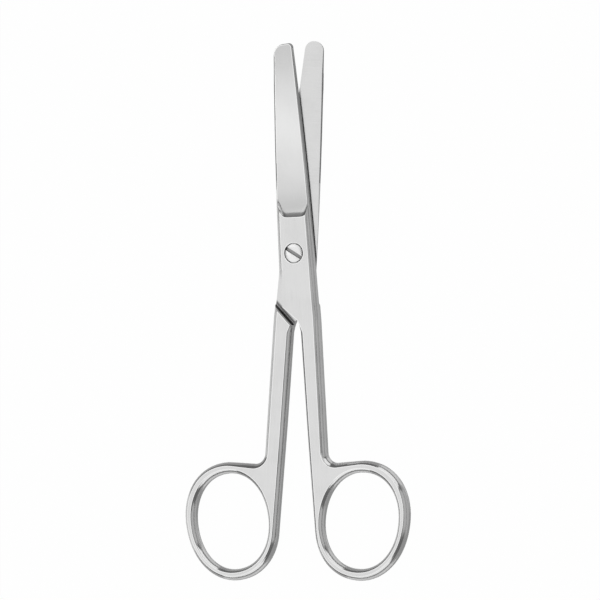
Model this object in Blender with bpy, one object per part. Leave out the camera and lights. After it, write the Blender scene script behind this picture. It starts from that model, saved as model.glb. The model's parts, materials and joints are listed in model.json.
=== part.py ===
"""Blunt operating scissors lying flat and a little open, in metres, +Z up, tips towards +Y.

Two forged halves turn on one slotted screw. Both halves are the same forging, turned over about the
long axis: a blunt blade with a ground outer face, a joint of half the thickness, a diagonal shoulder
where the full thickness begins, a shank with rounded sides and an oval finger bow.

A half is drawn in its own frame, as it lies when the scissors are closed: the joint's centre is at the
origin, +Y runs to the tip, +X is the side of the cutting edge and of the bow, z = 0 is the plane where
the halves meet, and +Z points out of the blade's ground outer face.
"""

import math
from dataclasses import dataclass

import bmesh
import bpy
from mathutils import Matrix, Vector
from mathutils.geometry import tessellate_polygon

# Whole tool
OPENING_DEG = 5.85  # from closed to the pose shown
THICKNESS = 0.00396  # shanks and bows, flat to flat
MATING_GAP = 0.0003  # between the two ground faces

# Blade
BLADE_LENGTH = 0.0565  # joint centre to tip
TIP_WIDTH = 0.00557
TIP_LEAN = 0.00163  # the tip's middle lies this far behind the half's axis
TIP_SLOPE = 0.00045  # its back corner is this much lower than its front one
EDGE_BELLY = 0.00048  # how far the cutting edge bows out of a straight line
BACK_BELLY = 0.00032
FACE_HEIGHT = 0.00133  # the ground face above the mating plane, where it is level
FACE_LEVEL_Y = 0.0310
FACE_TIP_DROP = 0.00023
FACE_ROOT_RISE = 0.00006
RUNOUT_Y = 0.00965  # the grinding ends this far from the joint's centre
RUNOUT_LENGTH = 0.0043  # over which it rises out of the face
RUNOUT_POWER = 4  # it rises slowly at first and then steeply
RUNOUT_CORNER_RISE = 0.0016  # its end turns up towards the tip this much at the flat's borders
RUNOUT_CORNER_POWER = 6

# Joint
JOINT_HALF_WIDTH = 0.00549
JOINT_END_Y = -0.0100  # the joint's side turns into the shank's here
RELIEF_START_Y = -0.0048  # the joint's back is milled upright below this
RELIEF_RUN = 0.0032
RELIEF_DEPTH = 0.00097
RELIEF_END_Y = -0.0144
CROTCH_Y = -0.01835
CROTCH_INSET = 0.00005  # the crotch stays this far on the back's side of the axis

# Shoulder, where the full thickness begins
SHOULDER_Y = -0.01945  # where its wall crosses the half's axis
SHOULDER_TURN_DEG = 43.0
SHOULDER_FILLET = 0.00055
SHOULDER_CHAMFER = 0.0003

# Shank
SHANK_TOP_Y = -0.0180
SHANK_TOP_STEP = 0.00039  # its outer side stands out from the joint's side at the top
SHANK_FLARE = 0.00049  # and this much more at the bow
SHANK_END_Y = -0.05685
SHANK_INNER_X = 0.00015
SHANK_INNER_Y = -0.0215  # the inner side has its full roundness from here on
SHANK_INNER_BELLY = 0.00012

# Finger bow
BOW_INNER_X = 0.00212
BOW_RISE = 0.0004  # of its top above the shank's end
BOW_SIDE_BAND = 0.00279  # between the hole and the outside, at half thickness
BOW_END_BAND = 0.00325
BOW_BAND_SHIFT = 0.00021  # the band is this much thicker on the far side
BOW_HOLE_HALF_LENGTH = 0.01294
BOW_HOLE_HALF_WIDTH = 0.01089
BOW_LEAN_DEG = 10.2
BOW_BAND_LEAN_DEG = 3.5  # the outside leans this much more than the hole
BOW_SQUARENESS = 2.1  # 2 would be an ellipse
BOW_FILLET = 0.0029

# The rear half is a little longer, and its bow is narrower and leans a little more
REAR_BLADE_MORE = 0.0006
REAR_SHANK_MORE = 0.00024
REAR_BOW_INWARD = 0.00038
REAR_END_BAND_LESS = 0.00022
REAR_HOLE_LESS = 0.00034
REAR_HOLE_SHORTER = 0.00008
REAR_LEAN_MORE_DEG = 2.7
REAR_TIP_LESS = 0.00035

# How far each side bulges past the flat, at half thickness
BLADE_SIDE = 0.0010
JOINT_SIDE = 0.00142
SHANK_SIDE = 0.00135
INNER_SIDE = 0.00108
BOW_SIDE = 0.00105
MILLED_SIDE = 0.00012
SIDE_ARC_DEG = 68.0  # less than 90 leaves a crisp line along the flat

# Rounding of the outline's corners
FRONT_TIP_ROUNDS = (0.0034, 0.0013)  # at the back, at the cutting edge
REAR_TIP_ROUNDS = (0.0030, 0.0025)
BEND_ROUND = 0.02
RELIEF_ROUND = 0.0015
MILLED_ROUND = 0.0004

# Screw
PIVOT_OFF_CENTRE = 0.00043  # to the left of the joint's centre, seen from above
HEAD_RADIUS = 0.00252
HEAD_HEIGHT = 0.00085
HEAD_RECESS = 0.00006
HEAD_CHAMFER = 0.00007
NECK_RADIUS = 0.0015
THREAD_RADIUS = 0.0013
END_RECESS = 0.0001
END_CHAMFER = 0.0002
SLOT_WIDTH = 0.0009
SLOT_DEPTH = 0.00048
SLOT_TURN_DEG = -30.0
RIM_CHAMFER = 0.00008  # on the counterbore's edge
HEAD_CLEARANCE = 0.00018
NECK_CLEARANCE = 0.0002
THREAD_CLEARANCE = 0.0002
SEAT_CLEARANCE = 0.0002

# Fineness of the faceted surfaces
STATION = 0.006  # longest step along a straight side
ARC_STEP_DEG = 10.0
BOW_STEPS = 72
SIDE_STEPS = 10
ROUND_STEPS = 64
FILLET_STEPS = 6
FACE_STEPS = 10
CROWN_STEPS = 20
BEYOND = 0.004  # how far a cutter runs past what it cuts


@dataclass
class HalfSizes:
    """What differs between the two halves."""

    name: str
    pivot_x: float
    blade_length: float
    tip_width: float
    tip_slope: float
    tip_rounds: tuple
    shank_end_y: float
    bow_inner_x: float
    hole_half_length: float
    hole_half_width: float
    end_band: float
    lean_deg: float


@dataclass
class Corner:
    """A corner of an outline: the side's bulge there, its round, the belly of the edge after it."""

    x: float
    y: float
    side: float
    round: float = 0.0
    belly: float = 0.0

    @property
    def point(self):
        return Vector((self.x, self.y))


FRONT = HalfSizes("front_half", -PIVOT_OFF_CENTRE, BLADE_LENGTH, TIP_WIDTH, TIP_SLOPE, FRONT_TIP_ROUNDS,
                  SHANK_END_Y, BOW_INNER_X, BOW_HOLE_HALF_LENGTH, BOW_HOLE_HALF_WIDTH,
                  BOW_END_BAND, BOW_LEAN_DEG)
REAR = HalfSizes("rear_half", PIVOT_OFF_CENTRE, BLADE_LENGTH + REAR_BLADE_MORE, TIP_WIDTH - REAR_TIP_LESS,
                 0.0, REAR_TIP_ROUNDS, SHANK_END_Y - REAR_SHANK_MORE, BOW_INNER_X - REAR_BOW_INWARD,
                 BOW_HOLE_HALF_LENGTH - REAR_HOLE_SHORTER, BOW_HOLE_HALF_WIDTH - REAR_HOLE_LESS,
                 BOW_END_BAND - REAR_END_BAND_LESS, BOW_LEAN_DEG + REAR_LEAN_MORE_DEG)


def clear_scene():
    for old in list(bpy.data.objects):
        bpy.data.objects.remove(old)


def steel(name, grey, roughness):
    material = bpy.data.materials.new(name)
    material.use_nodes = True
    shader = material.node_tree.nodes["Principled BSDF"]
    shader.inputs["Base Color"].default_value = (grey, grey, grey, 1)
    shader.inputs["Metallic"].default_value = 1.0
    shader.inputs["Roughness"].default_value = roughness
    return material


def add_object(name, data, parent=None):
    made = bpy.data.objects.new(name, data)
    bpy.context.scene.collection.objects.link(made)
    made.parent = parent
    return made


def add_empty(name, parent=None, turn=(0, 0, 0)):
    empty = add_object(name, None, parent)
    empty.rotation_euler = turn
    empty.empty_display_size = THICKNESS
    return empty


def mesh_of(name, bm):
    bmesh.ops.recalc_face_normals(bm, faces=bm.faces)
    mesh = bpy.data.meshes.new(name)
    bm.to_mesh(mesh)
    bm.free()
    return mesh


def finish_piece(piece, material, sharp_deg):
    piece.data.materials.append(material)
    piece.data.shade_smooth()
    piece.data.set_sharp_from_angle(angle=math.radians(sharp_deg))


def cut(target, mesh):
    """Takes the closed mesh, drawn in the target's frame, away from it."""
    cutter = add_object(mesh.name, mesh, target)
    cutter.hide_render = True
    cutter.display_type = "WIRE"
    modifier = target.modifiers.new(mesh.name, "BOOLEAN")
    modifier.operation = "DIFFERENCE"
    modifier.solver = "EXACT"
    modifier.object = cutter


def left_of(direction):
    return Vector((-direction.y, direction.x))


def turned(vector, angle):
    return Matrix.Rotation(angle, 2) @ vector


def fillet(before, corner, after):
    """Points of the round at a corner, from its first tangent point to its last."""
    here = corner.point
    back = before.point - here
    ahead = after.point - here
    turn = math.pi - back.angle(ahead)
    if corner.round == 0 or turn < 1e-4:
        return [here]
    longest_reach = 0.49 * min(back.length, ahead.length)
    reach = min(corner.round * math.tan(turn / 2), longest_reach)
    radius = reach / math.tan(turn / 2)
    centre = here + (back.normalized() + ahead.normalized()).normalized() * math.hypot(radius, reach)
    start = here + back.normalized() * reach - centre
    clockwise = math.copysign(1, back.x * ahead.y - back.y * ahead.x)
    steps = max(2, math.ceil(math.degrees(turn) / ARC_STEP_DEG))
    return [centre + turned(start, -clockwise * turn * k / steps) for k in range(steps + 1)]


def walk(corners):
    """The outline through the corners as (point, side) pairs, with its rounds and bellies."""
    count = len(corners)
    rounds = [fillet(corners[i - 1], corners[i], corners[(i + 1) % count]) for i in range(count)]
    outline = []
    for i, corner in enumerate(corners):
        outline += [(point, corner.side) for point in rounds[i]]
        following = corners[(i + 1) % count]
        start = rounds[i][-1]
        end = rounds[(i + 1) % count][0]
        steps = math.ceil((end - start).length / STATION)
        out = left_of((end - start).normalized())
        for k in range(1, steps):
            share = k / steps
            belly = corner.belly * 4 * share * (1 - share)
            side = corner.side + (following.side - corner.side) * share
            outline.append((start.lerp(end, share) + out * belly, side))
    return outline


def oval(centre, half_width, half_length, lean_deg):
    """Points round an oval a little squarer than an ellipse, clockwise from its top."""
    power = 2 / BOW_SQUARENESS
    points = []
    for k in range(BOW_STEPS):
        angle = 2 * math.pi * k / BOW_STEPS
        across = math.copysign(abs(math.sin(angle)) ** power, math.sin(angle))
        up = math.copysign(abs(math.cos(angle)) ** power, math.cos(angle))
        point = Vector((half_width * across, half_length * up))
        points.append(centre + turned(point, math.radians(-lean_deg)))
    return points


def bow_middle(sizes):
    """The middle of the bow's outside, which grows away from its inner side and its top."""
    width = BOW_SIDE_BAND + sizes.hole_half_width
    length = BOW_END_BAND + BOW_HOLE_HALF_LENGTH
    return Vector((sizes.bow_inner_x + width, sizes.shank_end_y + BOW_RISE - length))


def bow_outside(sizes):
    return oval(bow_middle(sizes), sizes.hole_half_width + BOW_SIDE_BAND,
                BOW_HOLE_HALF_LENGTH + sizes.end_band, sizes.lean_deg + BOW_BAND_LEAN_DEG)


def bow_hole(sizes):
    middle = bow_middle(sizes) - Vector((BOW_BAND_SHIFT, 0))
    return oval(middle, sizes.hole_half_width, sizes.hole_half_length, sizes.lean_deg)


def bearing(corner, point):
    """The direction from a corner down to a point of the bow, from straight left to straight right."""
    return math.atan2(point.y - corner.y, point.x - corner.x)


def bow_corners(sizes, before, after):
    """The bow's outside between the tangents from the shank's outer and inner sides."""
    outside = bow_outside(sizes)
    first = max(range(BOW_STEPS), key=lambda k: bearing(before, outside[k]))
    clockwise = outside[first:] + outside[:first]
    last = min(range(BOW_STEPS), key=lambda k: bearing(after, clockwise[k]))
    corners = [Corner(point.x, point.y, BOW_SIDE) for point in clockwise[: last + 1]]
    corners[-1].belly = SHANK_INNER_BELLY
    return corners


def half_outline(sizes):
    """The forging's outline at half thickness, clockwise from the tip's cutting-edge corner."""
    back_round, edge_round = sizes.tip_rounds
    back_x = -JOINT_HALF_WIDTH
    milled_x = back_x + RELIEF_DEPTH
    outer_x = JOINT_HALF_WIDTH + SHANK_TOP_STEP
    tip_y = sizes.blade_length
    tip_edge = Corner(sizes.tip_width / 2 - TIP_LEAN, tip_y, BLADE_SIDE, edge_round, EDGE_BELLY)
    joint_end = Corner(JOINT_HALF_WIDTH, JOINT_END_Y, JOINT_SIDE, BEND_ROUND)
    shank_top = Corner(outer_x, SHANK_TOP_Y, JOINT_SIDE, BEND_ROUND)
    shank_end = Corner(outer_x + SHANK_FLARE, sizes.shank_end_y, SHANK_SIDE, BOW_FILLET)
    inner_top = Corner(SHANK_INNER_X, SHANK_INNER_Y, INNER_SIDE)
    crotch = Corner(-CROTCH_INSET, CROTCH_Y, MILLED_SIDE, MILLED_ROUND)
    relief_end = Corner(milled_x, RELIEF_END_Y, MILLED_SIDE, MILLED_ROUND)
    relief_top = Corner(milled_x, RELIEF_START_Y - RELIEF_RUN, MILLED_SIDE, RELIEF_ROUND)
    relief_start = Corner(back_x, RELIEF_START_Y, JOINT_SIDE, RELIEF_ROUND, BACK_BELLY)
    tip_back = Corner(-sizes.tip_width / 2 - TIP_LEAN, tip_y - sizes.tip_slope, BLADE_SIDE, back_round)
    bow = bow_corners(sizes, shank_end, inner_top)
    return walk([tip_edge, joint_end, shank_top, shank_end, *bow, inner_top, crotch,
                 relief_end, relief_top, relief_start, tip_back])


def side_profile():
    """From the top flat to the bottom one: the share of the bulge that is missing, and of the height."""
    end = math.radians(SIDE_ARC_DEG)
    levels = []
    for k in range(SIDE_STEPS + 1):
        angle = end * (1 - 2 * k / SIDE_STEPS)
        missing = (1 - math.cos(angle)) / (1 - math.cos(end))
        levels.append((missing, math.sin(angle) / math.sin(end)))
    return levels


def raise_outlines(outlines):
    """Raises outlines into one solid with bulging sides. Each runs with the outside on its left."""
    bm = bmesh.new()
    levels = side_profile()
    top_loops = []
    bottom_loops = []
    for outline in outlines:
        count = len(outline)
        rings = [[] for _ in levels]
        for i, (point, side) in enumerate(outline):
            along = outline[(i + 1) % count][0] - outline[i - 1][0]
            out = left_of(along.normalized())
            for ring, (missing, height) in zip(rings, levels):
                place = point - out * side * missing
                ring.append(bm.verts.new((place.x, place.y, height * THICKNESS / 2)))
        for upper, lower in zip(rings, rings[1:]):
            for i in range(count):
                j = (i + 1) % count
                bm.faces.new((upper[i], upper[j], lower[j], lower[i]))
        top_loops.append(rings[0])
        bottom_loops.append(rings[-1])
    for loops in (top_loops, bottom_loops):
        corners = [vert for loop in loops for vert in loop]
        for triangle in tessellate_polygon([[vert.co for vert in loop] for loop in loops]):
            bm.faces.new([corners[k] for k in triangle])
    return bm


def sweep(name, rows):
    """A closed solid from rows of points, each row one closed section of it."""
    bm = bmesh.new()
    made = [[bm.verts.new(point) for point in row] for row in rows]
    for here, there in zip(made, made[1:]):
        for i in range(len(here)):
            j = (i + 1) % len(here)
            bm.faces.new((here[i], here[j], there[j], there[i]))
    bm.faces.new(made[0])
    bm.faces.new(made[-1])
    return mesh_of(name, bm)


def lathe(name, profile):
    """A solid turned about Z from (radius, height) points that start and end on the axis."""
    bm = bmesh.new()
    points = [bm.verts.new((radius, 0, height)) for radius, height in profile]
    edges = [bm.edges.new(pair) for pair in zip(points, points[1:])]
    bmesh.ops.spin(bm, geom=points + edges, cent=(0, 0, 0), axis=(0, 0, 1),
                   angle=2 * math.pi, steps=ROUND_STEPS, use_duplicate=False)
    bmesh.ops.remove_doubles(bm, verts=bm.verts, dist=1e-6)
    return mesh_of(name, bm)


def lap_cutter(name):
    """What is milled off blade and joint, up to the diagonal shoulder and the fillet at its foot."""
    turn = math.radians(SHOULDER_TURN_DEG)
    along = Vector((math.cos(turn), math.sin(turn)))
    ahead = left_of(along)
    mating_z = MATING_GAP / 2
    outer_z = -THICKNESS / 2
    far = 2 * BLADE_LENGTH
    profile = [(far, outer_z - BEYOND), (far, mating_z)]
    for k in range(FILLET_STEPS + 1):
        angle = math.pi / 2 * k / FILLET_STEPS
        profile.append((SHOULDER_FILLET * (1 - math.sin(angle)),
                        mating_z - SHOULDER_FILLET * (1 - math.cos(angle))))
    profile.append((0, outer_z + SHOULDER_CHAMFER))
    profile.append((-SHOULDER_CHAMFER - BEYOND, outer_z - BEYOND))
    rows = []
    for end in (-far, far):
        on_wall = Vector((0, SHOULDER_Y)) + along * end
        rows.append([(*(on_wall + ahead * u), z) for u, z in profile])
    return sweep(name, rows)


def face_height(y):
    """Height of the ground face above the mating plane at a distance along the blade."""
    if y > FACE_LEVEL_Y:
        return FACE_HEIGHT - FACE_TIP_DROP * ((y - FACE_LEVEL_Y) / (BLADE_LENGTH - FACE_LEVEL_Y)) ** 2
    return FACE_HEIGHT + FACE_ROOT_RISE * ((FACE_LEVEL_Y - y) / (FACE_LEVEL_Y - RUNOUT_Y)) ** 2


def face_profile():
    """The ground face along the blade from past the tip to the wheel's run-out, and round above it."""
    end = BLADE_LENGTH + BEYOND
    lift_y = RUNOUT_Y + RUNOUT_LENGTH
    rise = max(THICKNESS / 2 - face_height(RUNOUT_Y), MATING_GAP)
    profile = []
    for k in range(FACE_STEPS + 1):
        y = end + (lift_y - end) * k / FACE_STEPS
        profile.append((y, face_height(y)))
    for k in range(1, FACE_STEPS + 1):
        share = k / FACE_STEPS
        y = lift_y - RUNOUT_LENGTH * share
        profile.append((y, face_height(y) + rise * share**RUNOUT_POWER))
    slope = rise * RUNOUT_POWER / RUNOUT_LENGTH
    profile.append((RUNOUT_Y - BEYOND, profile[-1][1] + BEYOND * slope))
    profile.append((end, profile[-1][1]))
    return profile


def runout_corner(x):
    """How much further towards the tip the grinding ends at a distance from the half's axis."""
    flat_half_width = JOINT_HALF_WIDTH - JOINT_SIDE
    share = min(abs(x) / flat_half_width, 1 + JOINT_SIDE / JOINT_HALF_WIDTH / 2)
    return RUNOUT_CORNER_RISE * share**RUNOUT_CORNER_POWER


def face_cutter(name):
    """What the wheel takes off the blade's outer face, with rounded corners where it ends."""
    profile = face_profile()
    places = [JOINT_HALF_WIDTH * (2 * k / CROWN_STEPS - 1) for k in range(CROWN_STEPS + 1)]
    places = [places[0] - BEYOND, *places, places[-1] + BEYOND]
    return sweep(name, [[(x, y + runout_corner(x), z) for y, z in profile] for x in places])


def bore_cutter(name, profile, pivot_x):
    bore = lathe(name, profile)
    bore.transform(Matrix.Translation((pivot_x, 0, 0)))
    return bore


def counterbore_profile():
    """The front half's screw hole: a recess for the head above a running fit for the neck."""
    top = THICKNESS / 2
    seat = top - HEAD_RECESS - HEAD_HEIGHT - SEAT_CLEARANCE
    recess = HEAD_RADIUS + HEAD_CLEARANCE
    bore = NECK_RADIUS + NECK_CLEARANCE
    return [(0, -BEYOND), (bore, -BEYOND), (bore, seat), (recess, seat), (recess, top - RIM_CHAMFER),
            (recess + RIM_CHAMFER + BEYOND, top + BEYOND), (0, top + BEYOND)]


def threaded_profile():
    """The rear half's screw hole."""
    bore = THREAD_RADIUS + THREAD_CLEARANCE
    return [(0, -BEYOND), (bore, -BEYOND), (bore, BEYOND), (0, BEYOND)]


def make_half(sizes, bore_profile, material, turn_empty):
    """One forging with its lap, ground face and screw hole, under the empty that it turns with."""
    hole = [(point, BOW_SIDE) for point in reversed(bow_hole(sizes))]
    half = add_object(sizes.name, mesh_of(sizes.name, raise_outlines([half_outline(sizes), hole])), turn_empty)
    half.location.x = -sizes.pivot_x
    finish_piece(half, material, 20)
    cut(half, lap_cutter(sizes.name + "_lap"))
    cut(half, face_cutter(sizes.name + "_face"))
    cut(half, bore_cutter(sizes.name + "_bore", bore_profile, sizes.pivot_x))
    return half


def make_screw(material, parent):
    """The screw with its head in the front half and its thread in the rear half."""
    top = THICKNESS / 2 - HEAD_RECESS
    seat = top - HEAD_HEIGHT
    neck_end = SEAT_CLEARANCE - MATING_GAP / 2
    bottom = END_RECESS - THICKNESS / 2
    profile = [(0, bottom), (THREAD_RADIUS - END_CHAMFER, bottom), (THREAD_RADIUS, bottom + END_CHAMFER),
               (THREAD_RADIUS, neck_end), (NECK_RADIUS, neck_end), (NECK_RADIUS, seat), (HEAD_RADIUS, seat),
               (HEAD_RADIUS, top - HEAD_CHAMFER), (HEAD_RADIUS - HEAD_CHAMFER, top), (0, top)]
    screw = add_object("pivot_screw", lathe("pivot_screw", profile), parent)
    finish_piece(screw, material, 30)
    screw.rotation_euler.z = math.radians(SLOT_TURN_DEG)
    reach = HEAD_RADIUS + BEYOND
    floor = top - SLOT_DEPTH
    section = [(-SLOT_WIDTH / 2, floor), (SLOT_WIDTH / 2, floor),
               (SLOT_WIDTH / 2, top + BEYOND), (-SLOT_WIDTH / 2, top + BEYOND)]
    cut(screw, sweep("pivot_screw_slot", [[(x, y, z) for y, z in section] for x in (-reach, reach)]))
    return screw


def rest_on_ground(root, pieces):
    """Moves the root so that the origin is in the middle of what the pieces cover, at their foot."""
    bpy.context.view_layer.update()
    graph = bpy.context.evaluated_depsgraph_get()
    points = []
    for piece in pieces:
        solid = piece.evaluated_get(graph)
        points += [solid.matrix_world @ vert.co for vert in solid.data.vertices]
    low = Vector([min(point[k] for point in points) for k in range(3)])
    high = Vector([max(point[k] for point in points) for k in range(3)])
    root.location -= Vector(((low.x + high.x) / 2, (low.y + high.y) / 2, low.z))


def main():
    clear_scene()
    opened = math.radians(OPENING_DEG / 2)
    half_steel = steel("satin_steel", 0.80, 0.28)
    screw_steel = steel("turned_steel", 0.86, 0.22)
    pivot = add_empty("pivot")
    front_turn = add_empty("front_turn", pivot, (0, 0, opened))
    rear_turn = add_empty("rear_turn", pivot, (0, math.pi, -opened))
    front = make_half(FRONT, counterbore_profile(), half_steel, front_turn)
    rear = make_half(REAR, threaded_profile(), half_steel, rear_turn)
    screw = make_screw(screw_steel, pivot)
    rest_on_ground(pivot, [front, rear, screw])


main()
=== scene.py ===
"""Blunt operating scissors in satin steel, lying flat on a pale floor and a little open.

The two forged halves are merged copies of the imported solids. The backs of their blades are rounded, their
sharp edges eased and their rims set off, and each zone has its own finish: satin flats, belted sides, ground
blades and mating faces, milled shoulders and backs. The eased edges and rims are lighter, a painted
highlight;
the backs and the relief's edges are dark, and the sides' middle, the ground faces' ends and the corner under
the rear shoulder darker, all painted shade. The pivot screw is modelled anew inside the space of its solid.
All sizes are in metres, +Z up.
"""

from __future__ import annotations

import json
import logging
import math
from dataclasses import dataclass, field
from enum import Enum
from typing import Callable, Iterable

import bpy
from mathutils import Matrix, Vector

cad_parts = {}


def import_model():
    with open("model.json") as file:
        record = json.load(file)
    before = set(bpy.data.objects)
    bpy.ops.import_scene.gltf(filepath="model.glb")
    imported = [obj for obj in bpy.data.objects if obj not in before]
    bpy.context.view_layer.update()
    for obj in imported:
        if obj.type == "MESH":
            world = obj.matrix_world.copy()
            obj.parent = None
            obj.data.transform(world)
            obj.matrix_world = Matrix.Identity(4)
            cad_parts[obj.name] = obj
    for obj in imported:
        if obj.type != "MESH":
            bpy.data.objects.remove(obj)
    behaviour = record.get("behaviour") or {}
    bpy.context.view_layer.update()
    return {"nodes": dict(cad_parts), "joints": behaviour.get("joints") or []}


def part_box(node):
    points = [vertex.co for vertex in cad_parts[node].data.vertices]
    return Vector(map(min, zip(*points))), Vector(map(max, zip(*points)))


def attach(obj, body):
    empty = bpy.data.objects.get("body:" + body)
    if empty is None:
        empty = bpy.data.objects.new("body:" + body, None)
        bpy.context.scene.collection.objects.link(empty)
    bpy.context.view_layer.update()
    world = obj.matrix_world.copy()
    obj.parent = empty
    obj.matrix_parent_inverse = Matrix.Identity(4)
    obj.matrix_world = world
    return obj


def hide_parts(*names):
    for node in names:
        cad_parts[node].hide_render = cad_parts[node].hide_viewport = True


log = logging.getLogger("scissors")

OPENING_DEG = 5.85  # between the halves, from closed to the pose shown
SHOULDER_DEG = 43.0  # how far the shoulders' walls are turned from straight across their halves
MERGE_DISTANCE = 0.000002  # two points nearer than this are one

Triple = tuple[float, float, float]


class Zone(Enum):
    """The differently finished parts of a forged half; each value is its material's index."""

    FLAT = 0  # the level faces of joint, shank and bow
    SIDE = 1  # the bulging sides
    GROUND = 2  # the blade's outer face
    MATING = 3  # where the halves meet
    MILLED = 4  # the shoulder's wall and the fillet at its foot
    EDGE = 5  # eased edges and rims, in a lighter colour that paints a highlight
    BACK = 6  # the blade's back and tip, and the relief's eased edges, in a dark colour that paints shade


class Grain(Enum):
    """Which way the polishing lines run."""

    ALONG = "along the blade"
    ACROSS = "across the blade"
    TURNED = "round the pivot"
    NONE = "in no direction"


class Ramp(Enum):
    """How a mapped value goes from one end of its range to the other."""

    SMOOTH = "SMOOTHSTEP"
    STRAIGHT = "LINEAR"


def select_nothing() -> None:
    """Goes back to object mode and deselects every object."""
    if bpy.context.object and bpy.context.object.mode != "OBJECT":
        bpy.ops.object.mode_set(mode="OBJECT")
    bpy.ops.object.select_all(action="DESELECT")


def make_active(piece: bpy.types.Object) -> None:
    """Selects one piece alone and makes it the active one.

    Args:
        piece: The object that the next operators act on.
    """
    select_nothing()
    piece.select_set(True)
    bpy.context.view_layer.objects.active = piece


def clear_mesh_selection(piece: bpy.types.Object, kind: str) -> None:
    """Deselects all of a piece's mesh, so that some of it can be selected in code.

    Args:
        piece: The object.
        kind: What is selected next, EDGE or FACE.
    """
    make_active(piece)
    bpy.ops.object.mode_set(mode="EDIT")
    bpy.ops.mesh.select_mode(type=kind)
    bpy.ops.mesh.select_all(action="DESELECT")
    bpy.ops.object.mode_set(mode="OBJECT")


def apply_modifiers(piece: bpy.types.Object) -> None:
    """Applies all of a piece's modifiers in order.

    Args:
        piece: The object whose modifiers become part of its mesh.
    """
    make_active(piece)
    for modifier in list(piece.modifiers):
        bpy.ops.object.modifier_apply(modifier=modifier.name)


@dataclass
class NodeGraph:
    """Adds and joins the nodes of one material.

    Attributes:
        material: The material.
        tree: Its nodes.
        shader: The shader that it starts with.
        place: The piece's Object coordinates.
    """

    material: bpy.types.Material
    tree: bpy.types.NodeTree = field(init=False)
    shader: bpy.types.Node = field(init=False)
    place: bpy.types.NodeSocket = field(init=False)

    def __post_init__(self) -> None:
        """Starts from the material's own shader and the piece's Object coordinates."""
        self.material.use_nodes = True
        self.tree = self.material.node_tree
        self.shader = self.tree.nodes["Principled BSDF"]
        self.place = self.add("ShaderNodeTexCoord").outputs["Object"]

    def add(self, kind: str, **settings: object) -> bpy.types.Node:
        """Adds a node.

        Args:
            kind: The node's type name.
            settings: Properties to set on it.

        Returns:
            The new node.
        """
        node = self.tree.nodes.new(kind)
        for key, value in settings.items():
            setattr(node, key, value)
        return node

    def join(self, source: bpy.types.NodeSocket, target: bpy.types.NodeSocket) -> None:
        """Joins two sockets."""
        self.tree.links.new(source, target)

    def feed(self, node: bpy.types.Node, values: dict[str | int, object]) -> bpy.types.Node:
        """Sets or joins a node's inputs.

        Args:
            node: The node to feed.
            values: A socket to join or a plain value for each input.

        Returns:
            The same node.
        """
        for key, value in values.items():
            if isinstance(value, bpy.types.NodeSocket):
                self.join(value, node.inputs[key])
            else:
                node.inputs[key].default_value = value
        return node

    def math(self, operation: str, *values: object) -> bpy.types.NodeSocket:
        """Adds a maths node.

        Args:
            operation: What it does.
            values: A socket or a number for each input.

        Returns:
            Its result.
        """
        node = self.add("ShaderNodeMath", operation=operation)
        return self.feed(node, dict(enumerate(values))).outputs[0]

    def coordinate(self, axis: str) -> bpy.types.NodeSocket:
        """Returns the Object coordinate along an axis, which is called X, Y or Z."""
        return self.feed(self.add("ShaderNodeSeparateXYZ"), {0: self.place}).outputs[axis]

    def stretched(self, turn_deg: float, scale: Triple, origin: Triple = (0, 0, 0)) -> bpy.types.NodeSocket:
        """Turns and stretches the Object coordinates.

        Args:
            turn_deg: Turn about Z.
            scale: Stretch of each axis after the turn.
            origin: The point that becomes the pattern's origin.

        Returns:
            The new coordinates.
        """
        centred = self.add("ShaderNodeVectorMath", operation="SUBTRACT")
        self.feed(centred, {0: self.place, 1: origin})
        turn = self.add("ShaderNodeMapping", vector_type="POINT")
        self.feed(turn, {"Vector": centred.outputs[0], "Rotation": (0, 0, math.radians(turn_deg))})
        stretch = self.add("ShaderNodeVectorMath", operation="MULTIPLY")
        self.feed(stretch, {0: turn.outputs[0], 1: scale})
        return stretch.outputs[0]

    def noise(self, where: bpy.types.NodeSocket, scale: float, layers: float) -> bpy.types.NodeSocket:
        """Adds a noise pattern.

        Args:
            where: The coordinates that it reads.
            scale: How many features fit in a metre.
            layers: How many finer layers it has.

        Returns:
            Its value, from 0 to 1.
        """
        node = self.add("ShaderNodeTexNoise")
        return self.feed(node, {"Vector": where, "Scale": scale, "Detail": layers}).outputs["Fac"]

    def spread(self, value: bpy.types.NodeSocket, low: float, high: float, source: tuple[float, float],
               ramp: Ramp = Ramp.SMOOTH) -> bpy.types.NodeSocket:
        """Maps a value onto a new range.

        Args:
            value: What is mapped.
            low: Result at the source range's start.
            high: Result at its end.
            source: The range of the value.
            ramp: How it goes from one end to the other.

        Returns:
            The mapped value.
        """
        node = self.add("ShaderNodeMapRange", interpolation_type=ramp.value)
        self.feed(node, {"Value": value, "From Min": source[0], "From Max": source[1],
                         "To Min": low, "To Max": high})
        return node.outputs["Result"]

    def along_y(self, points: tuple[tuple[float, float], ...]) -> bpy.types.NodeSocket:
        """Makes a value that follows a smooth curve along Y.

        Args:
            points: Places along Y, each with the value there.

        Returns:
            The value.
        """
        start, end = points[0][0], points[-1][0]
        curve = self.add("ShaderNodeFloatCurve")
        knots = curve.mapping.curves[0].points
        while len(knots) < len(points):
            knots.new(0.5, 0.5)
        for knot, (y, value) in zip(knots, points):
            knot.location = ((y - start) / (end - start), value)
        curve.mapping.update()
        share = self.spread(self.coordinate("Y"), 0.0, 1.0, (start, end), Ramp.STRAIGHT)
        return self.feed(curve, {"Value": share}).outputs["Value"]


# What all the steels have in common
PATCHES_PER_METRE = 130  # of the large patches that are polished less or more
PATCH_LAYERS = 4
LINE_LAYERS = 3
RING_LAYERS = 2
LINES_IN_WEAR = 0.45  # this share of the wear follows the polishing lines, and the rest the patches
WEAR_RANGE = (0.35, 0.62)  # from dull to well polished
STEEL_TINT = (1.0, 1.0, 0.998)
LINE_SCALES: dict[Grain, Triple] = {  # a small number draws the lines out along that axis
    Grain.ALONG: (1, 0.02, 1),
    Grain.ACROSS: (0.03, 1, 1),
    Grain.NONE: (1, 1, 1),
}


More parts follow.
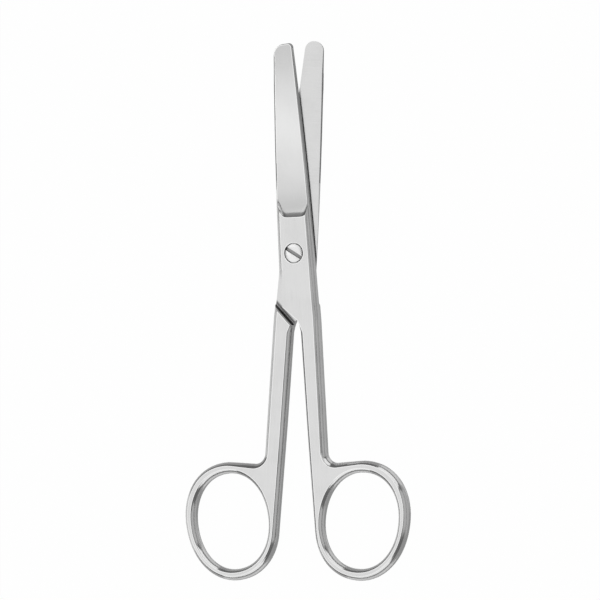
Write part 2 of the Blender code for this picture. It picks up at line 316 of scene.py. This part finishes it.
@dataclass(frozen=True)
class SteelFinish:
    """One finish of stainless steel.

    Attributes:
        name: The material's name.
        grey: Colour where the steel is best polished.
        dull: Share of that colour which the duller patches keep.
        roughness: Of the polished places.
        roughness_more: How much rougher the duller patches are.
        grain: Which way the polishing lines run.
        grain_per_metre: How fine they are.
        grain_depth: How deep they are.
        shading: Painted shade by place, made by a function of the graph, or none.
    """

    name: str
    grey: float
    dull: float
    roughness: float
    roughness_more: float
    grain: Grain
    grain_per_metre: float
    grain_depth: float
    shading: Callable[[NodeGraph], bpy.types.NodeSocket] | None = None

    def lines(self, graph: NodeGraph, turn_deg: float, centre: Triple) -> bpy.types.NodeSocket:
        """Adds the polishing lines.

        Args:
            graph: The material's nodes.
            turn_deg: How far the piece is turned about Z.
            centre: The pivot, which turned lines go round.

        Returns:
            Their height, from 0 to 1.
        """
        if self.grain is Grain.TURNED:
            radius = graph.add("ShaderNodeVectorMath", operation="LENGTH")
            graph.feed(radius, {0: graph.stretched(0, (1, 1, 0), centre)})
            ring = graph.feed(graph.add("ShaderNodeCombineXYZ"), {0: radius.outputs["Value"]})
            return graph.noise(ring.outputs[0], self.grain_per_metre, RING_LAYERS)
        where = graph.stretched(-turn_deg, LINE_SCALES[self.grain])
        return graph.noise(where, self.grain_per_metre, LINE_LAYERS)

    def material(self, turn_deg: float, centre: Triple) -> bpy.types.Material:
        """Builds the material.

        Args:
            turn_deg: How far the piece is turned about Z.
            centre: The pivot.

        Returns:
            The material, with its colour, roughness and bump from nodes.
        """
        material = bpy.data.materials.new(self.name)
        graph = NodeGraph(material)
        lines = self.lines(graph, turn_deg, centre)
        patches = graph.noise(graph.place, PATCHES_PER_METRE, PATCH_LAYERS)
        wear = graph.math("ADD", graph.math("MULTIPLY", lines, LINES_IN_WEAR),
                          graph.math("MULTIPLY", patches, 1 - LINES_IN_WEAR))
        tone = graph.spread(wear, self.grey * self.dull, self.grey, WEAR_RANGE)
        # Painted shade multiplies the colour where a finish has it
        if self.shading:
            tone = graph.math("MULTIPLY", tone, self.shading(graph))
        colour = graph.add("ShaderNodeCombineColor")
        for channel, share in zip(("Red", "Green", "Blue"), STEEL_TINT):
            graph.join(graph.math("MULTIPLY", tone, share), colour.inputs[channel])
        bump = graph.add("ShaderNodeBump")
        graph.feed(bump, {"Height": lines, "Distance": self.grain_depth, "Strength": 1.0})
        rough = graph.spread(wear, self.roughness + self.roughness_more, self.roughness, WEAR_RANGE)
        graph.feed(graph.shader, {"Base Color": colour.outputs[0], "Roughness": rough, "Metallic": 1.0,
                                  "Normal": bump.outputs[0]})
        return material


# Painted shade on the sides, darkest in the middle of their height
MIDDLE_HEIGHT = 0.00198
SIDE_BAND_SHADE = 0.80
SIDE_BAND_BORDER = (0.00135, 0.00155)  # where the shade ends, above and below the middle

# Painted shade on the ground faces: how light they are along Y, from the wheel's run-out to the tips
BLADE_SHADES = (
    (0.0248, 0.72), (0.0262, 0.70), (0.0276, 0.71), (0.0300, 0.76), (0.0325, 0.83), (0.0405, 0.93),
    (0.0500, 1.00), (0.0566, 0.94), (0.0620, 0.87), (0.0675, 0.77), (0.0724, 0.74),
)

# The rear half's shoulder as it is shown, and the painted shade in the corner below it
SHOULDER_FACING_DEG = SHOULDER_DEG + OPENING_DEG / 2  # its wall faces this far from +Y towards +X
SHOULDER_AWAY = -0.003803  # how far from the origin the wall lies, that way
SHOULDER_SHADE = 0.22
SHOULDER_SHADE_BORDER = (0.0007, 0.0012)  # where the shade ends, from the wall


def side_shading(graph: NodeGraph) -> bpy.types.NodeSocket:
    """Paints shade on the sides, darker towards the middle of their height."""
    off_middle = graph.math("ABSOLUTE", graph.math("SUBTRACT", graph.coordinate("Z"), MIDDLE_HEIGHT))
    return graph.spread(off_middle, SIDE_BAND_SHADE, 1.0, SIDE_BAND_BORDER)


def blade_shading(graph: NodeGraph) -> bpy.types.NodeSocket:
    """Paints shade on the ground faces, darker towards the tips and the wheel's run-out."""
    return graph.along_y(BLADE_SHADES)


def shoulder_shading(graph: NodeGraph) -> bpy.types.NodeSocket:
    """Paints shade on the rear half's mating face in the corner below its shoulder's wall.

    Args:
        graph: The material's nodes.

    Returns:
        The share of the colour that each place keeps.
    """
    facing = math.radians(SHOULDER_FACING_DEG)
    across = graph.math("MULTIPLY", graph.coordinate("X"), math.sin(facing))
    ahead = graph.math("MULTIPLY", graph.coordinate("Y"), math.cos(facing))
    away = graph.math("SUBTRACT", graph.math("ADD", across, ahead), SHOULDER_AWAY)
    return graph.spread(away, SHOULDER_SHADE, 1.0, SHOULDER_SHADE_BORDER, Ramp.STRAIGHT)


FINISHES: dict[Zone, SteelFinish] = {
    Zone.FLAT: SteelFinish(
        "satin_flat_steel", grey=0.76, dull=0.97, roughness=0.20, roughness_more=0.06,
        grain=Grain.ALONG, grain_per_metre=9000, grain_depth=0.0000008),
    Zone.SIDE: SteelFinish(
        "belted_side_steel", grey=0.80, dull=0.92, roughness=0.12, roughness_more=0.06,
        grain=Grain.ALONG, grain_per_metre=5000, grain_depth=0.0000008, shading=side_shading),
    Zone.GROUND: SteelFinish(
        "ground_blade_steel", grey=0.84, dull=0.98, roughness=0.18, roughness_more=0.05,
        grain=Grain.ALONG, grain_per_metre=12000, grain_depth=0.0000005, shading=blade_shading),
    Zone.MATING: SteelFinish(
        "ground_mating_steel", grey=0.73, dull=0.96, roughness=0.18, roughness_more=0.06,
        grain=Grain.ACROSS, grain_per_metre=9000, grain_depth=0.0000008, shading=shoulder_shading),
    Zone.MILLED: SteelFinish(
        "milled_shoulder_steel", grey=0.40, dull=0.85, roughness=0.26, roughness_more=0.10,
        grain=Grain.ACROSS, grain_per_metre=6000, grain_depth=0.000002),
    # Lighter than the flats: a painted highlight along the eased edges and rims
    Zone.EDGE: SteelFinish(
        "edge_painted_highlight_steel", grey=0.94, dull=0.96, roughness=0.18, roughness_more=0.05,
        grain=Grain.NONE, grain_per_metre=6000, grain_depth=0.0000005),
    # Dark: painted shade along the blade's back and tip and the relief's eased edges
    Zone.BACK: SteelFinish(
        "back_painted_shade_steel", grey=0.36, dull=0.85, roughness=0.30, roughness_more=0.08,
        grain=Grain.ALONG, grain_per_metre=7000, grain_depth=0.000001),
}
HEAD_FINISH = SteelFinish(
    "turned_screw_steel", grey=0.92, dull=0.95, roughness=0.20, roughness_more=0.06,
    grain=Grain.TURNED, grain_per_metre=14000, grain_depth=0.0000012)
SLOT_FINISH = SteelFinish(
    "slot_steel", grey=0.42, dull=0.85, roughness=0.34, roughness_more=0.10,
    grain=Grain.NONE, grain_per_metre=8000, grain_depth=0.000003)


@dataclass
class ForgedHalf:
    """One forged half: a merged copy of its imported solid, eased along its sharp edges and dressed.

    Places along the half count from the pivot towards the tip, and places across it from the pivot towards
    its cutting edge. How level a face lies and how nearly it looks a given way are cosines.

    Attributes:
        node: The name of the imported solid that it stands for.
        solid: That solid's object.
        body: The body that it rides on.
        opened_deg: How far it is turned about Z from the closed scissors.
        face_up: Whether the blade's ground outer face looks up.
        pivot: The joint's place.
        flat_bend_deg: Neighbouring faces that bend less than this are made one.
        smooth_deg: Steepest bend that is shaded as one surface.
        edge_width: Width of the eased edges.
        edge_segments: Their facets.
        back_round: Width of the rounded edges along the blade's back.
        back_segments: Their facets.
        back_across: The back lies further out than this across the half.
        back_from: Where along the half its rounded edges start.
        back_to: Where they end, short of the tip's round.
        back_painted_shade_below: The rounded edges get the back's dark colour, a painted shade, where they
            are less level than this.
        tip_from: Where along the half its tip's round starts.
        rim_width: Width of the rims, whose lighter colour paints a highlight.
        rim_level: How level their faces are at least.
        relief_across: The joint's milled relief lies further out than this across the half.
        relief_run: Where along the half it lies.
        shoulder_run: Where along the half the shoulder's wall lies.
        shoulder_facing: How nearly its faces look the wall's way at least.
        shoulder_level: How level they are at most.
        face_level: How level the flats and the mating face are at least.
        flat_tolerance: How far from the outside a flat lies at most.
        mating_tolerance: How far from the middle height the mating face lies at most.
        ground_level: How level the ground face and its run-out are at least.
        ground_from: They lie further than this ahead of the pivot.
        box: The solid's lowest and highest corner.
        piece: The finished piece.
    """

    node: str
    solid: bpy.types.Object
    body: str
    opened_deg: float
    face_up: bool
    pivot: Vector
    flat_bend_deg: float = 0.4
    smooth_deg: float = 17.0
    edge_width: float = 0.00009
    edge_segments: int = 2
    back_round: float = 0.00027
    back_segments: int = 6
    back_across: float = -0.0015
    back_from: float = 0.0200
    back_to: float = 0.0520
    back_painted_shade_below: float = 0.995
    tip_from: float = 0.0545
    rim_width: float = 0.00018
    rim_level: float = 0.985
    relief_across: float = -0.0030
    relief_run: tuple[float, float] = (-0.0152, -0.0042)
    shoulder_run: tuple[float, float] = (-0.028, -0.012)
    shoulder_facing: float = 0.97
    shoulder_level: float = 0.98
    face_level: float = 0.97
    flat_tolerance: float = 0.00002
    mating_tolerance: float = 0.0004
    ground_level: float = 0.75
    ground_from: float = 0.008
    box: tuple[Vector, Vector] = field(init=False)
    piece: bpy.types.Object = field(init=False)

    def copy_node(self) -> None:
        """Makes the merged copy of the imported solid."""
        self.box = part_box(self.node)
        mesh = self.solid.data.copy()
        mesh.name = self.node + "_dressed"
        self.piece = bpy.data.objects.new(self.node + "_dressed", mesh)
        bpy.context.scene.collection.objects.link(self.piece)
        make_active(self.piece)
        mesh.materials.clear()
        for zone in Zone:
            mesh.materials.append(FINISHES[zone].material(self.opened_deg, tuple(self.pivot)))
        bpy.ops.object.mode_set(mode="EDIT")
        bpy.ops.mesh.select_all(action="SELECT")
        bpy.ops.mesh.remove_doubles(threshold=MERGE_DISTANCE)
        bpy.ops.mesh.dissolve_limited(angle_limit=math.radians(self.flat_bend_deg))
        bpy.ops.mesh.customdata_custom_splitnormals_clear()
        bpy.ops.object.mode_set(mode="OBJECT")

    def across(self, place: Vector) -> float:
        """Measures a place across the half.

        Args:
            place: The place.

        Returns:
            How far it lies from the line along the half through the pivot, positive towards the cutting edge.
        """
        turn = math.radians(self.opened_deg)
        offset = (place - self.pivot).xy.dot(Vector((math.cos(turn), math.sin(turn))))
        return offset if self.face_up else -offset

    def along(self, place: Vector) -> float:
        """Returns how far a place lies from the pivot towards the tip."""
        turn = math.radians(self.opened_deg)
        return (place - self.pivot).xy.dot(Vector((-math.sin(turn), math.cos(turn))))

    def on_back(self, place: Vector) -> bool:
        """Returns whether a place lies along the blade's back."""
        return self.across(place) < self.back_across and self.along(place) > self.back_from

    def in_relief(self, place: Vector) -> bool:
        """Returns whether a place lies along the milled relief in the joint's back."""
        start, end = self.relief_run
        return self.across(place) < self.relief_across and start < self.along(place) < end

    def on_shoulder(self, centre: Vector, normal: Vector) -> bool:
        """Says whether a face belongs to the shoulder's wall or to the fillet at its foot.

        Args:
            centre: The face's middle.
            normal: Its outward direction.

        Returns:
            Whether it lies where the shoulder is and looks the wall's way.
        """
        turn = math.radians(self.opened_deg + (SHOULDER_DEG if self.face_up else -SHOULDER_DEG))
        facing = normal.xy.normalized().dot(Vector((-math.sin(turn), math.cos(turn))))
        start, end = self.shoulder_run
        return (start < self.along(centre) < end and facing > self.shoulder_facing
                and abs(normal.z) < self.shoulder_level)

    def zone_of(self, centre: Vector, normal: Vector) -> Zone:
        """Says which zone a face of the solid belongs to.

        Args:
            centre: The face's middle.
            normal: Its outward direction.

        Returns:
            The zone.
        """
        low, high = self.box
        off_outside = min(abs(centre.z - low.z), abs(centre.z - high.z))
        level = abs(normal.z) > self.face_level
        outer = normal.z > 0 if self.face_up else normal.z < 0
        if level and off_outside < self.flat_tolerance:
            return Zone.FLAT
        if abs(normal.z) > self.ground_level and outer and centre.y > self.pivot.y + self.ground_from:
            return Zone.GROUND
        if level and abs(centre.z - (low.z + high.z) / 2) < self.mating_tolerance:
            return Zone.MATING
        return Zone.MILLED if self.on_shoulder(centre, normal) else Zone.SIDE

    def is_eased(self, polygon: bpy.types.MeshPolygon) -> bool:
        """Returns whether a face was made by rounding or easing an edge, or is a rim."""
        return polygon.material_index in (Zone.EDGE.value, Zone.BACK.value)

    def is_plain(self, polygon: bpy.types.MeshPolygon, zone: Zone) -> bool:
        """Returns whether a face is in a zone and is neither rounded, eased nor a rim."""
        return not self.is_eased(polygon) and self.zone_of(polygon.center, polygon.normal) is zone

    def is_back_edge(self, middle: Vector, sides: list[bpy.types.MeshPolygon]) -> bool:
        """Says whether a sharp edge runs along the blade's back, at the ground face or the mating face.

        Args:
            middle: The edge's middle.
            sides: The faces that meet in it.

        Returns:
            Whether it is one of the edges that are rounded more than the others.
        """
        if len(sides) != 2 or sides[0].normal.angle(sides[1].normal, 0) < math.radians(self.smooth_deg):
            return False
        zones = {self.zone_of(side.center, side.normal) for side in sides}
        at_back = self.on_back(middle) and self.along(middle) < self.back_to
        return at_back and Zone.SIDE in zones and bool(zones & {Zone.GROUND, Zone.MATING})

    def round_backs(self) -> None:
        """Rounds the back edges of the ground face and of the mating face more than the others."""
        mesh = self.piece.data
        clear_mesh_selection(self.piece, "EDGE")
        sides: dict[tuple[int, int], list[bpy.types.MeshPolygon]] = {}
        for polygon in mesh.polygons:
            for key in polygon.edge_keys:
                sides.setdefault(key, []).append(polygon)
        for edge in mesh.edges:
            start, end = (mesh.vertices[index].co for index in edge.vertices)
            edge.select = self.is_back_edge((start + end) / 2, sides.get(edge.key, []))
        bpy.ops.object.mode_set(mode="EDIT")
        bpy.ops.mesh.bevel(offset=self.back_round, segments=self.back_segments, affect="EDGES",
                           clamp_overlap=False, material=Zone.EDGE.value)
        bpy.ops.object.mode_set(mode="OBJECT")
        # The less level rounded faces get the back's dark colour, a painted shade
        for polygon in mesh.polygons:
            if polygon.material_index == Zone.EDGE.value and abs(polygon.normal.z) < self.back_painted_shade_below:
                polygon.material_index = Zone.BACK.value

    def ease_edges(self) -> None:
        """Bevels the sharp edges a little, so that they catch the light, and gives the bevels a lighter
        colour that paints a highlight, or along the relief a dark one that paints shade.
        """
        modifier = self.piece.modifiers.new("eased_edges", "BEVEL")
        modifier.width = self.edge_width
        modifier.segments = self.edge_segments
        modifier.limit_method = "ANGLE"
        modifier.angle_limit = math.radians(self.smooth_deg)
        modifier.use_clamp_overlap = True
        modifier.material = Zone.EDGE.value
        apply_modifiers(self.piece)
        # Bevels along the relief get the back's dark colour, a painted shade
        for polygon in self.piece.data.polygons:
            if polygon.material_index == Zone.EDGE.value and self.in_relief(polygon.center):
                polygon.material_index = Zone.BACK.value

    def set_rim(self, zone: Zone) -> None:
        """Sets a narrow rim off along the border of a zone, in a lighter colour that paints a highlight, but
        not where the zone curves away.

        Args:
            zone: The zone.
        """
        mesh = self.piece.data
        clear_mesh_selection(self.piece, "FACE")
        for polygon in mesh.polygons:
            polygon.select = abs(polygon.normal.z) > self.rim_level and self.is_plain(polygon, zone)
        bpy.ops.object.mode_set(mode="EDIT")
        bpy.ops.mesh.inset(thickness=self.rim_width, depth=0)
        bpy.ops.object.mode_set(mode="OBJECT")
        plain = [polygon for polygon in mesh.polygons if self.is_plain(polygon, zone)]
        curved = {key for polygon in plain if abs(polygon.normal.z) <= self.rim_level
                  for key in polygon.edge_keys}
        for polygon in plain:
            level = abs(polygon.normal.z) > self.rim_level
            rim = level and not polygon.select and not curved & set(polygon.edge_keys)
            # Rims get the edge finish's lighter colour, a painted highlight
            if rim and not self.in_relief(polygon.center):
                polygon.material_index = Zone.EDGE.value

    def finish_of(self, polygon: bpy.types.MeshPolygon) -> Zone:
        """Says which finish a face gets.

        Args:
            polygon: The face.

        Returns:
            Its zone, or the dark one that paints shade along the blade's back and round its tip.
        """
        zone = self.zone_of(polygon.center, polygon.normal)
        on_tip = self.along(polygon.center) > self.tip_from
        return Zone.BACK if zone is Zone.SIDE and (on_tip or self.on_back(polygon.center)) else zone

    def dress(self) -> None:
        """Gives every face its finish and shades the level faces level."""
        for polygon in self.piece.data.polygons:
            if not self.is_eased(polygon):
                polygon.material_index = self.finish_of(polygon).value
        make_active(self.piece)
        bpy.ops.object.shade_smooth_by_angle(angle=math.radians(self.smooth_deg))
        level = self.piece.modifiers.new("level_flats", "WEIGHTED_NORMAL")
        level.keep_sharp = True
        apply_modifiers(self.piece)

    def build(self) -> bpy.types.Object:
        """Builds the half and sets it on its body.

        Returns:
            The finished piece.
        """
        self.copy_node()
        self.round_backs()
        self.ease_edges()
        self.set_rim(Zone.FLAT)
        self.set_rim(Zone.GROUND)
        self.dress()
        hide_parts(self.node)
        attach(self.piece, self.body)
        return self.piece


@dataclass
class PivotScrew:
    """The slotted screw, turned and then slotted, inside the space of its solid.

    Attributes:
        pivot: The joint's place.
        body: The body that it rides on.
        steps: Facets round the axis.
        smooth_deg: Steepest bend that is shaded as one surface.
        head_height: From the seat to the head's face.
        head_chamfer: On the rim of the head's face.
        chamfer_belly: How far its middle lies in from the corner, as a share of it.
        neck_radius: Where the front half turns.
        neck_end: How far above the pivot's middle the neck ends.
        thread_radius: Of the thread, which is left plain.
        end_chamfer: On the thread's end.
        edge_width: Width of the eased edges.
        edge_segments: Their facets.
        edge_from_deg: Least bend that is eased.
        slot_length: Of the bar that cuts the slot, past the head on both sides.
        slot_width: From wall to wall.
        slot_depth: Below the head's face.
        slot_turn_deg: How far the slot is turned about Z from straight across.
        slot_margin: A face counts as the slot's up to this far past its walls and floor.
        slot_lip: It doesn't count when it is nearer than this to the head's face.
        box: The solid's lowest and highest corner.
        piece: The finished piece.
    """

    pivot: Vector
    body: str
    steps: int = 96
    smooth_deg: float = 25.0
    head_height: float = 0.00085
    head_chamfer: float = 0.00010
    chamfer_belly: float = 0.3
    neck_radius: float = 0.0015
    neck_end: float = 0.00005
    thread_radius: float = 0.0013
    end_chamfer: float = 0.0002
    edge_width: float = 0.00004
    edge_segments: int = 2
    edge_from_deg: float = 50.0
    slot_length: float = 0.008
    slot_width: float = 0.0009
    slot_depth: float = 0.00048
    slot_turn_deg: float = -30.0
    slot_margin: float = 0.00001
    slot_lip: float = 0.00003
    box: tuple[Vector, Vector] = field(init=False)
    piece: bpy.types.Object = field(init=False)

    def turn_profile(self) -> None:
        """Spins the screw's outline about its axis."""
        self.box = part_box("pivot_screw")
        low, high = self.box
        head = (high.x - low.x) / 2
        seat = high.z - self.head_height
        neck_end = self.pivot.z + self.neck_end
        belly = self.head_chamfer * self.chamfer_belly
        outline = [
            (0, low.z), (self.thread_radius - self.end_chamfer, low.z),
            (self.thread_radius, low.z + self.end_chamfer), (self.thread_radius, neck_end),
            (self.neck_radius, neck_end), (self.neck_radius, seat),
            (head - self.edge_width, seat), (head, seat + self.edge_width),
            (head, high.z - self.head_chamfer), (head - belly, high.z - belly),
            (head - self.head_chamfer, high.z), (0, high.z),
        ]
        mesh = bpy.data.meshes.new("pivot_screw_dressed")
        points = [(self.pivot.x + radius, self.pivot.y, height) for radius, height in outline]
        mesh.from_pydata(points, [(i, i + 1) for i in range(len(points) - 1)], [])
        self.piece = bpy.data.objects.new("pivot_screw_dressed", mesh)
        bpy.context.scene.collection.objects.link(self.piece)
        make_active(self.piece)
        bpy.ops.object.mode_set(mode="EDIT")
        bpy.ops.mesh.select_all(action="SELECT")
        bpy.ops.mesh.spin(steps=self.steps, angle=2 * math.pi, center=self.pivot, axis=(0, 0, 1))
        bpy.ops.mesh.select_all(action="SELECT")
        bpy.ops.mesh.remove_doubles(threshold=MERGE_DISTANCE)
        bpy.ops.mesh.normals_make_consistent(inside=False)
        bpy.ops.object.mode_set(mode="OBJECT")

    def cut_slot(self) -> None:
        """Cuts the slot with a bar, takes the bar away and eases the sharp edges."""
        _, high = self.box
        select_nothing()
        bpy.ops.mesh.primitive_cube_add(size=1, location=(self.pivot.x, self.pivot.y, high.z),
                                        rotation=(0, 0, math.radians(self.slot_turn_deg)),
                                        scale=(self.slot_length, self.slot_width, 2 * self.slot_depth))
        bar = bpy.context.object
        cutter = self.piece.modifiers.new("slot", "BOOLEAN")
        cutter.operation = "DIFFERENCE"
        cutter.solver = "EXACT"
        cutter.object = bar
        apply_modifiers(self.piece)
        bpy.data.objects.remove(bar)
        eased = self.piece.modifiers.new("eased_edges", "BEVEL")
        eased.width = self.edge_width
        eased.segments = self.edge_segments
        eased.limit_method = "ANGLE"
        eased.angle_limit = math.radians(self.edge_from_deg)
        apply_modifiers(self.piece)

    def in_slot(self, place: Vector) -> bool:
        """Says whether a face of the slot lies at a place.

        Args:
            place: The face's middle.

        Returns:
            Whether it is one of the slot's walls or its floor.
        """
        _, high = self.box
        turn = math.radians(self.slot_turn_deg)
        off = abs((place.xy - self.pivot.xy).dot(Vector((-math.sin(turn), math.cos(turn)))))
        floor = high.z - self.slot_depth - self.slot_margin
        return off < self.slot_width / 2 + self.slot_margin and floor < place.z < high.z - self.slot_lip

    def dress(self) -> None:
        """Gives the head and the slot their finishes."""
        mesh = self.piece.data
        for finish in (HEAD_FINISH, SLOT_FINISH):
            mesh.materials.append(finish.material(0, tuple(self.pivot)))
        for polygon in mesh.polygons:
            polygon.material_index = 1 if self.in_slot(polygon.center) else 0
        make_active(self.piece)
        bpy.ops.object.shade_smooth_by_angle(angle=math.radians(self.smooth_deg))

    def build(self) -> bpy.types.Object:
        """Builds the screw and sets it on its body.

        Returns:
            The finished piece.
        """
        self.turn_profile()
        self.cut_slot()
        self.dress()
        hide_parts("pivot_screw")
        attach(self.piece, self.body)
        return self.piece


@dataclass(frozen=True)
class Softbox:
    """A large soft lamp that looks at the scissors.

    Attributes:
        name: The lamp's name.
        azimuth_deg: Where it stands, from +X towards +Y.
        elevation_deg: How high it stands.
        width: Of its front.
        depth: The other side of its front.
        level: How bright its front looks above the surroundings, where 1 is white.
        distance: From the scissors.
    """

    name: str
    azimuth_deg: float
    elevation_deg: float
    width: float
    depth: float
    level: float
    distance: float = 1.0

    def build(self, target: Vector) -> None:
        """Adds the lamp.

        Args:
            target: The point that it looks at.
        """
        azimuth = math.radians(self.azimuth_deg)
        elevation = math.radians(self.elevation_deg)
        away = Vector((math.cos(azimuth) * math.cos(elevation), math.sin(azimuth) * math.cos(elevation),
                       math.sin(elevation)))
        lamp = bpy.data.lights.new(self.name, "AREA")
        lamp.shape = "RECTANGLE"
        lamp.size = self.width
        lamp.size_y = self.depth
        lamp.energy = self.level * math.pi * self.width * self.depth
        made = bpy.data.objects.new(self.name, lamp)
        bpy.context.scene.collection.objects.link(made)
        made.location = target + away * self.distance
        made.rotation_euler = away.to_track_quat("Z", "Y").to_euler()


@dataclass
class Studio:
    """The pale floor, the lamps, the plain surroundings and the camera.

    Attributes:
        lamps: The softboxes.
        target: The point that they look at.
        surroundings: How bright the plain surroundings are.
        floor_size: Side of the floor.
        floor_height: Where it lies, a hair under the scissors.
        floor_grey: Its colour.
        floor_glow: The share of plain white that the camera sees in it.
        floor_glow_in_steel: The share of plain white that the steel sees in it.
        floor_gloss: How much of the rest is glossy when the steel sees it.
        floor_gloss_roughness: Of that gloss.
        camera_right_deg: How far the camera looks from the right of straight above.
        camera_roll_deg: How far it is rolled.
        camera_distance: From the middle of the frame.
        frame_width: What the picture shows from side to side.
        frame_centre: The middle of what it shows.
    """

    lamps: tuple[Softbox, ...] = (
        Softbox("key_softbox", 180, 66, 0.90, 0.70, 0.80),
        Softbox("right_softbox", 5, 21.5, 0.93, 0.67, 0.37),
        Softbox("upper_right_softbox", 17, 57, 0.30, 0.45, 0.35),
        Softbox("far_right_softbox", 66, 28, 0.85, 0.66, 0.85),
        Softbox("high_right_softbox", 58, 60, 0.60, 0.42, 0.55),
        Softbox("far_softbox", 140, 49, 0.60, 0.50, 0.20),
        Softbox("near_softbox", 268, 28, 1.30, 0.60, 0.85),
        Softbox("low_left_softbox", 186, 22, 0.50, 0.70, 0.55),
    )
    target: Vector = field(default_factory=lambda: Vector((0, 0, 0.002)))
    surroundings: float = 0.15
    floor_size: float = 4.0
    floor_height: float = -0.00001
    floor_grey: float = 0.95
    floor_glow: float = 0.985
    floor_glow_in_steel: float = 0.25
    floor_gloss: float = 0.75
    floor_gloss_roughness: float = 0.15
    camera_right_deg: float = 24.0
    camera_roll_deg: float = 0.30
    camera_distance: float = 0.8
    frame_width: float = 0.16104
    frame_centre: Vector = field(default_factory=lambda: Vector((0.00018, 0.00293, 0.00198)))

    def floor_material(self) -> bpy.types.Material:
        """Builds the floor's material: nearly white to the camera, glossy to the steel, matt to other light.

        Returns:
            The material.
        """
        material = bpy.data.materials.new("pale_floor")
        graph = NodeGraph(material)
        grey = (self.floor_grey,) * 3 + (1,)
        graph.feed(graph.shader, {"Base Color": grey, "Roughness": 1.0, "Specular IOR Level": 0.0})
        glow = graph.feed(graph.add("ShaderNodeEmission"), {"Strength": 1.0})
        gloss = graph.feed(graph.add("ShaderNodeBsdfGlossy"),
                           {"Color": grey, "Roughness": self.floor_gloss_roughness})
        rays = graph.add("ShaderNodeLightPath").outputs
        mirrored = graph.math("MAXIMUM", rays["Is Glossy Ray"], rays["Is Transmission Ray"])
        satin = graph.feed(graph.add("ShaderNodeMixShader"),
                           {0: graph.math("MULTIPLY", mirrored, self.floor_gloss),
                            1: graph.shader.outputs[0], 2: gloss.outputs[0]})
        share = graph.math("MAXIMUM", graph.math("MULTIPLY", rays["Is Camera Ray"], self.floor_glow),
                           graph.math("MULTIPLY", mirrored, self.floor_glow_in_steel))
        mix = graph.feed(graph.add("ShaderNodeMixShader"),
                         {0: share, 1: satin.outputs[0], 2: glow.outputs[0]})
        graph.join(mix.outputs[0], graph.tree.nodes["Material Output"].inputs["Surface"])
        return material

    def build_floor(self) -> None:
        """Adds the floor, which keeps a soft shadow."""
        select_nothing()
        bpy.ops.mesh.primitive_plane_add(size=self.floor_size, location=(0, 0, self.floor_height))
        floor = bpy.context.object
        floor.name = "floor"
        floor.data.materials.append(self.floor_material())

    def build_surroundings(self) -> None:
        """Sets the plain grey surroundings."""
        world = bpy.data.worlds.new("surroundings")
        world.use_nodes = True
        background = world.node_tree.nodes["Background"]
        background.inputs["Color"].default_value = (1, 1, 1, 1)
        background.inputs["Strength"].default_value = self.surroundings
        bpy.context.scene.world = world

    def build_camera(self) -> None:
        """Adds the camera, to the right of straight above and with the tips up in the picture."""
        turn = math.radians(self.camera_right_deg)
        roll = math.radians(self.camera_roll_deg)
        back = Vector((math.sin(turn), 0, math.cos(turn)))
        level_right = Vector((math.cos(turn), 0, -math.sin(turn)))
        level_up = Vector((0, 1, 0))
        right = level_right * math.cos(roll) + level_up * math.sin(roll)
        up = level_up * math.cos(roll) - level_right * math.sin(roll)
        data = bpy.data.cameras.new("camera")
        data.type = "ORTHO"
        data.ortho_scale = self.frame_width
        camera = bpy.data.objects.new("camera", data)
        bpy.context.scene.collection.objects.link(camera)
        turned = Matrix((right, up, back)).transposed()
        away = Matrix.Translation(self.frame_centre + back * self.camera_distance)
        camera.matrix_world = away @ turned.to_4x4()
        bpy.context.scene.camera = camera

    def build(self) -> None:
        """Builds the whole studio."""
        self.build_floor()
        self.build_surroundings()
        for lamp in self.lamps:
            lamp.build(self.target)
        self.build_camera()
        bpy.context.scene.view_settings.view_transform = "Standard"


def main() -> None:
    """Builds the scissors and the studio, and reports each piece."""
    logging.basicConfig(level=logging.INFO, format="%(name)s: %(message)s")
    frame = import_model()
    nodes = frame["nodes"]
    pivot = Vector(frame["joints"][0]["pos_m"])
    opened = OPENING_DEG / 2
    pieces = [
        ForgedHalf("front_half", nodes["front_half"], "front", opened, True, pivot).build(),
        ForgedHalf("rear_half", nodes["rear_half"], "rear", -opened, False, pivot).build(),
        PivotScrew(pivot, "rear").build(),
    ]
    for piece in pieces:
        log.info("%s: %d faces", piece.name, len(piece.data.polygons))
    Studio().build()


if __name__ == "__main__":
    main()
